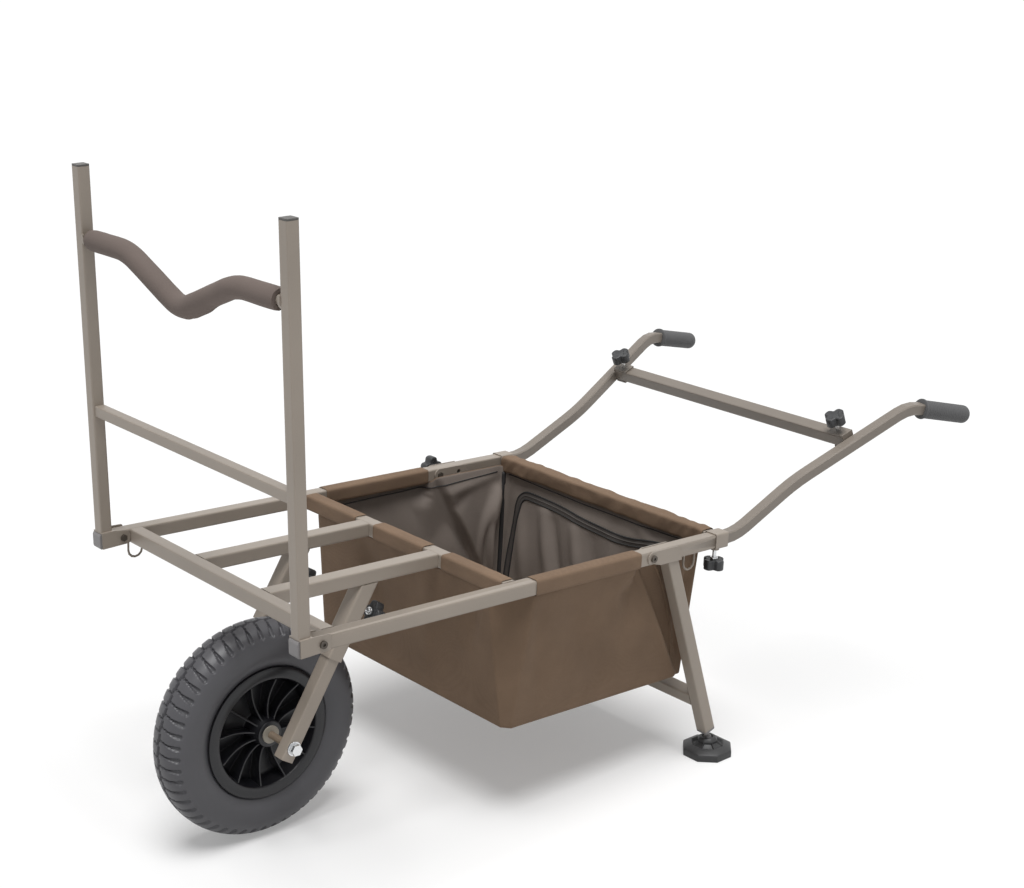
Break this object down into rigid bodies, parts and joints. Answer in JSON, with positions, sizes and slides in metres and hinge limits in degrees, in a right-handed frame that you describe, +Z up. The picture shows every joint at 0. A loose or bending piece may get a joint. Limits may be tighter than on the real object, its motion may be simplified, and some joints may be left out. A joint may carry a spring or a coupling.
{
  "type": "single-wheel fishing trolley",
  "caption": "Square-tube fishing barrow with a single treaded wheel, folding front gate with padded rod rest, hanging cloth bag, slide-out handles and fold-away rear legs on mud feet.",
  "frame": {"origin": "On the ground, under the middle of the bounding box.", "axes": "+Z up, +Y to the rear, where the user holds the grips; +X to the trolley's side that the picture shows nearer."},
  "size_m": [0.7988, 1.654, 1.143],
  "materials": {
    "powder_coat": "satin powder coat in taupe over steel tube",
    "knob_plastic": "dark grey moulded plastic, fine grain",
    "zinc_steel": "bright zinc-plated hardware",
    "tyre_rubber": "dark grey tyre rubber with a moulded tread",
    "rim_plastic": "black moulded rim with a slight sheen",
    "bush_plastic": "beige bearing plastic",
    "grip_rubber": "dark grey ribbed rubber",
    "foam_cover": "brown closed-cell foam",
    "bag_cloth": "brown coated woven cloth",
    "end_cap": "grey-brown moulded end caps"
  },
  "bodies": {
    "chassis": {"side_rail_left": "powder_coat", "inner_rail_left": "powder_coat", "handle_socket_left": "powder_coat", "fork_sleeve_left": "powder_coat", "leg_pivot_bolt_left": "zinc_steel", "gate_pivot_bolt_left": "zinc_steel", "side_rail_right": "powder_coat", "inner_rail_right": "powder_coat", "handle_socket_right": "powder_coat", "fork_sleeve_right": "powder_coat", "leg_pivot_bolt_right": "zinc_steel", "gate_pivot_bolt_right": "zinc_steel", "front_cross_tube": "powder_coat", "bag_front_tube": "powder_coat", "bag_rear_tube": "powder_coat", "bag": "bag_cloth"},
    "wheel_fork": {"fork_leg_left": "powder_coat", "axle_spacer_left": "powder_coat", "axle_washer_left": "zinc_steel", "fork_leg_right": "powder_coat", "axle_spacer_right": "powder_coat", "axle_washer_right": "zinc_steel", "axle_bolt": "zinc_steel"},
    "wheel": {"tyre": "tyre_rubber", "wheel_rim": "rim_plastic", "hub_bush_left": "bush_plastic", "hub_bush_right": "bush_plastic"},
    "gate": {"gate_upright_left": "powder_coat", "gate_shoe_cap_left": "end_cap", "upright_cap_left": "end_cap", "gate_upright_right": "powder_coat", "gate_shoe_cap_right": "end_cap", "upright_cap_right": "end_cap", "gate_cross_tube": "powder_coat", "rod_rest_bar": "powder_coat", "rod_rest_foam": "foam_cover"},
    "handles": {"handle_tube_left": "powder_coat", "hand_grip_left": "grip_rubber", "brace_clip_left": "powder_coat", "handle_tube_right": "powder_coat", "hand_grip_right": "grip_rubber", "brace_clip_right": "powder_coat", "handle_brace": "powder_coat"},
    "rear_legs": {"leg_bracket_left": "powder_coat", "leg_tube_left": "powder_coat", "leg_end_plug_left": "end_cap", "leg_bracket_right": "powder_coat", "leg_tube_right": "powder_coat", "leg_end_plug_right": "end_cap", "leg_brace": "powder_coat"},
    "foot_left": {"mud_foot_left": "knob_plastic"},
    "fork_knob_left": {"fork_knob_left": "knob_plastic"},
    "socket_knob_left": {"socket_knob_left": "knob_plastic"},
    "brace_knob_left": {"brace_knob_left": "knob_plastic"},
    "foot_right": {"mud_foot_right": "knob_plastic"},
    "fork_knob_right": {"fork_knob_right": "knob_plastic"},
    "socket_knob_right": {"socket_knob_right": "knob_plastic"},
    "brace_knob_right": {"brace_knob_right": "knob_plastic"},
    "leg_lock_knob": {"leg_lock_knob": "knob_plastic"}
  },
  "joints": [
    {"name": "fork_slide", "type": "slide", "parent": "chassis", "child": "wheel_fork", "axis": [0, -0.5325, -0.8464], "range_m": [0, 0.09]},
    {"name": "wheel_spin", "type": "hinge", "parent": "wheel_fork", "child": "wheel", "pos_m": [0, -0.63205, 0.195], "axis": [1, 0, 0], "continuous": true},
    {"name": "gate_fold", "type": "hinge", "parent": "chassis", "child": "gate", "pos_m": [0, -0.71106, 0.47713], "axis": [-1, 0, 0], "range_deg": [0, 88]},
    {"name": "handle_slide", "type": "slide", "parent": "chassis", "child": "handles", "axis": [0, 0.999, -0.0449], "range_m": [0, 0.09]},
    {"name": "leg_fold", "type": "hinge", "parent": "chassis", "child": "rear_legs", "pos_m": [0, 0.00821, 0.44481], "axis": [-1, 0, 0], "range_deg": [0, 30]},
    {"name": "foot_tilt_left", "type": "hinge", "parent": "rear_legs", "child": "foot_left", "pos_m": [-0.3048, 0.19004, 0.03], "axis": [1, 0, 0], "range_deg": [-12, 12]},
    {"name": "fork_knob_turn_left", "type": "hinge", "parent": "chassis", "child": "fork_knob_left", "pos_m": [-0.1012, -0.47502, 0.40575], "axis": [0, 0.8464, -0.5325], "range_deg": [0, 720]},
    {"name": "socket_knob_turn_left", "type": "hinge", "parent": "chassis", "child": "socket_knob_left", "pos_m": [-0.3048, 0.18474, 0.41706], "axis": [0, -0.0449, -0.999], "range_deg": [0, 720]},
    {"name": "brace_knob_turn_left", "type": "hinge", "parent": "handles", "child": "brace_knob_left", "pos_m": [-0.29894, 0.52953, 0.58088], "axis": [0, -0.3912, 0.9203], "range_deg": [0, 720]},
    {"name": "foot_tilt_right", "type": "hinge", "parent": "rear_legs", "child": "foot_right", "pos_m": [0.3048, 0.19004, 0.03], "axis": [1, 0, 0], "range_deg": [-12, 12]},
    {"name": "fork_knob_turn_right", "type": "hinge", "parent": "chassis", "child": "fork_knob_right", "pos_m": [0.1012, -0.47502, 0.40575], "axis": [0, 0.8464, -0.5325], "range_deg": [0, 720]},
    {"name": "socket_knob_turn_right", "type": "hinge", "parent": "chassis", "child": "socket_knob_right", "pos_m": [0.3048, 0.18474, 0.41706], "axis": [0, -0.0449, -0.999], "range_deg": [0, 720]},
    {"name": "brace_knob_turn_right", "type": "hinge", "parent": "handles", "child": "brace_knob_right", "pos_m": [0.29894, 0.52953, 0.58088], "axis": [0, -0.3912, 0.9203], "range_deg": [0, 720]},
    {"name": "leg_lock_turn", "type": "hinge", "parent": "rear_legs", "child": "leg_lock_knob", "pos_m": [-0.3204, 0.03219, 0.44373], "axis": [-1, 0, 0], "range_deg": [0, 720]}
  ]
}
